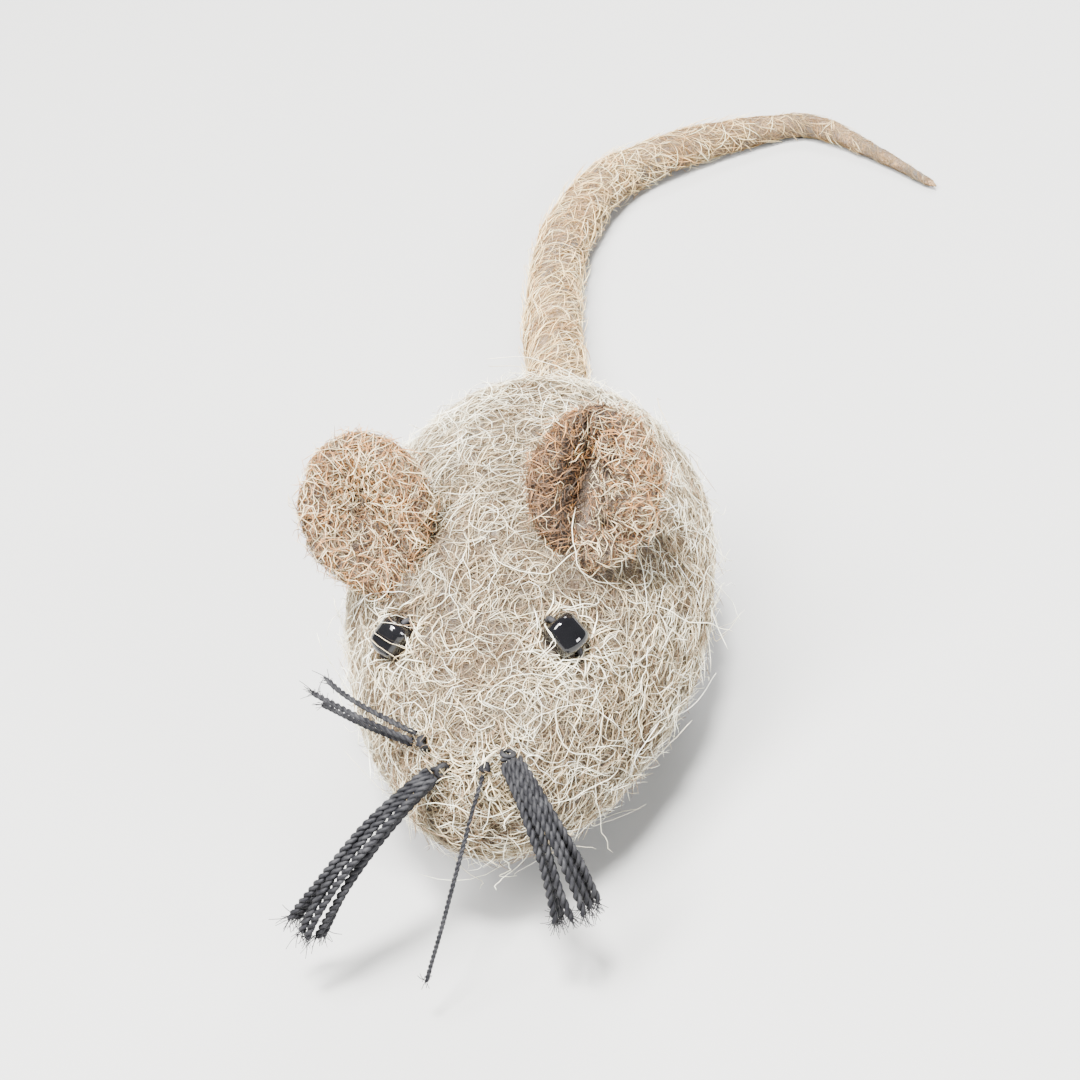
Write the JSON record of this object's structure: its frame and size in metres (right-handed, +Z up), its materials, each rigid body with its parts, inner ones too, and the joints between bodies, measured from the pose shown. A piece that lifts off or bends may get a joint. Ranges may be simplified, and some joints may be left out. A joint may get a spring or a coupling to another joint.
{
  "type": "felted mouse cat toy",
  "caption": "Needle-felted wool mouse: egg body on a flat belly, cupped flexible ears, glass bead eyes, black floss whiskers and a long tapered felt rope tail that lifts, swings and curls",
  "frame": {"origin": "on the flat of the belly, half way along the body, in the plane that the mouse lies on", "axes": "+Y from the nose to the rump and the tail, +Z up, +X to the mouse's own left"},
  "size_m": [0.0592, 0.1746, 0.046],
  "materials": {
    "cream_wool": "needle-felted wool, fuzzy",
    "brown_wool": "needle-felted wool, fuzzy",
    "tail_wool": "wet-felted wool rope, smooth with stray fibres",
    "core_wool": "loose wool batting",
    "catnip": "dry crushed leaf",
    "black_bead": "glossy opaque glass",
    "black_floss": "twisted cotton floss, slightly shiny",
    "black_thread": "matte sewing thread"
  },
  "bodies": {
    "body": {"body_felt": "cream_wool", "core_wool": "core_wool", "catnip_fill": "catnip", "eye_bead_left": "black_bead", "eye_bead_right": "black_bead", "eye_stitch_left": "black_thread", "eye_stitch_right": "black_thread", "whisker_knot_left": "black_floss", "whisker_knot_right_lower": "black_floss", "whisker_knot_right_upper": "black_floss", "whisker_knot_centre": "black_floss", "whisker_tie": "black_floss"},
    "ear_left": {"ear_left": "brown_wool"},
    "ear_right": {"ear_right": "brown_wool"},
    "whiskers_left": {"whisker_left_1": "black_floss", "whisker_left_2": "black_floss", "whisker_left_3": "black_floss", "whisker_left_4": "black_floss", "whisker_left_5": "black_floss"},
    "whiskers_right_lower": {"whisker_right_lower_1": "black_floss", "whisker_right_lower_2": "black_floss", "whisker_right_lower_3": "black_floss", "whisker_right_lower_4": "black_floss"},
    "whiskers_right_upper": {"whisker_right_upper_1": "black_floss", "whisker_right_upper_2": "black_floss", "whisker_right_upper_3": "black_floss"},
    "whiskers_centre": {"whisker_centre_1": "black_floss"},
    "tail_1": {"tail_1": "tail_wool"},
    "tail_2": {"tail_2": "tail_wool"},
    "tail_3": {"tail_3": "tail_wool"},
    "tail_4": {"tail_4": "tail_wool"},
    "tail_5": {"tail_5": "tail_wool"},
    "tail_6": {"tail_6": "tail_wool"},
    "tail_7": {"tail_7": "tail_wool"},
    "tail_8": {"tail_8": "tail_wool"},
    "tail_9": {"tail_9": "tail_wool"},
    "tail_10": {"tail_10": "tail_wool"}
  },
  "joints": [
    {"name": "ear_flex_left", "type": "hinge", "parent": "body", "child": "ear_left", "pos_m": [0.00955, -0.00964, 0.03259], "axis": [-0.8434, 0, 0.5373], "range_deg": [-12, 12], "stiffness_Nm_per_rad": 0.001},
    {"name": "ear_flex_right", "type": "hinge", "parent": "body", "child": "ear_right", "pos_m": [-0.01065, -0.01116, 0.03123], "axis": [-0.788, 0, -0.6157], "range_deg": [-12, 12], "stiffness_Nm_per_rad": 0.001},
    {"name": "whisker_flex_left", "type": "hinge", "parent": "body", "child": "whiskers_left", "pos_m": [0.00391, -0.02789, 0.02438], "axis": [-0.7962, -0.6051, 0], "range_deg": [-6, 20], "stiffness_Nm_per_rad": 0.0002},
    {"name": "whisker_flex_right_lower", "type": "hinge", "parent": "body", "child": "whiskers_right_lower", "pos_m": [-0.00272, -0.02894, 0.02386], "axis": [-0.4933, 0.8698, 0], "range_deg": [-6, 20], "stiffness_Nm_per_rad": 0.0002},
    {"name": "whisker_flex_right_upper", "type": "hinge", "parent": "body", "child": "whiskers_right_upper", "pos_m": [-0.00452, -0.02678, 0.02512], "axis": [0.4268, 0.9044, 0], "range_deg": [-10, 10], "stiffness_Nm_per_rad": 0.0001},
    {"name": "whisker_flex_centre", "type": "hinge", "parent": "body", "child": "whiskers_centre", "pos_m": [0.00185, -0.02905, 0.02405], "axis": [-0.8742, 0.4856, 0], "range_deg": [-6, 20], "stiffness_Nm_per_rad": 0.00003},
    {"name": "tail_lift", "type": "hinge", "parent": "body", "child": "tail_1", "pos_m": [0, 0.03119, 0.0072], "axis": [1, 0, 0], "range_deg": [0, 30], "stiffness_Nm_per_rad": 0.002},
    {"name": "tail_swing", "type": "hinge", "parent": "tail_1", "child": "tail_2", "pos_m": [-0.0045, 0.04719, 0.00434], "axis": [0, 0, 1], "range_deg": [-25, 25], "stiffness_Nm_per_rad": 0.002},
    {"name": "tail_curl", "type": "hinge", "parent": "tail_2", "child": "tail_3", "pos_m": [-0.009, 0.06519, 0.00428], "axis": [0, 0, 1], "range_deg": [-6, 12], "stiffness_Nm_per_rad": 0.002},
    {"name": "tail_curl_3", "type": "hinge", "parent": "tail_3", "child": "tail_4", "pos_m": [-0.0123, 0.08319, 0.00419], "axis": [0, 0, 1], "range_deg": [-6, 12]},
    {"name": "tail_curl_4", "type": "hinge", "parent": "tail_4", "child": "tail_5", "pos_m": [-0.0129, 0.10069, 0.00399], "axis": [0, 0, 1], "range_deg": [-6, 12]},
    {"name": "tail_curl_5", "type": "hinge", "parent": "tail_5", "child": "tail_6", "pos_m": [-0.0086, 0.11569, 0.00362], "axis": [0, 0, 1], "range_deg": [-6, 12]},
    {"name": "tail_curl_6", "type": "hinge", "parent": "tail_6", "child": "tail_7", "pos_m": [0.002, 0.12539, 0.00317], "axis": [0, 0, 1], "range_deg": [-6, 12]},
    {"name": "tail_curl_7", "type": "hinge", "parent": "tail_7", "child": "tail_8", "pos_m": [0.0155, 0.13139, 0.00227], "axis": [0, 0, 1], "range_deg": [-6, 12]},
    {"name": "tail_curl_8", "type": "hinge", "parent": "tail_8", "child": "tail_9", "pos_m": [0.0216, 0.13099, 0.00194], "axis": [0, 0, 1], "range_deg": [-6, 12]},
    {"name": "tail_curl_9", "type": "hinge", "parent": "tail_9", "child": "tail_10", "pos_m": [0.0304, 0.12349, 0.00133], "axis": [0, 0, 1], "range_deg": [-6, 12]}
  ],
  "couplings": [
    {"joint": "tail_curl_3", "follows": "tail_curl", "ratio": 1},
    {"joint": "tail_curl_4", "follows": "tail_curl", "ratio": 1},
    {"joint": "tail_curl_5", "follows": "tail_curl", "ratio": 1},
    {"joint": "tail_curl_6", "follows": "tail_curl", "ratio": 1},
    {"joint": "tail_curl_7", "follows": "tail_curl", "ratio": 1},
    {"joint": "tail_curl_8", "follows": "tail_curl", "ratio": 1},
    {"joint": "tail_curl_9", "follows": "tail_curl", "ratio": 1}
  ]
}
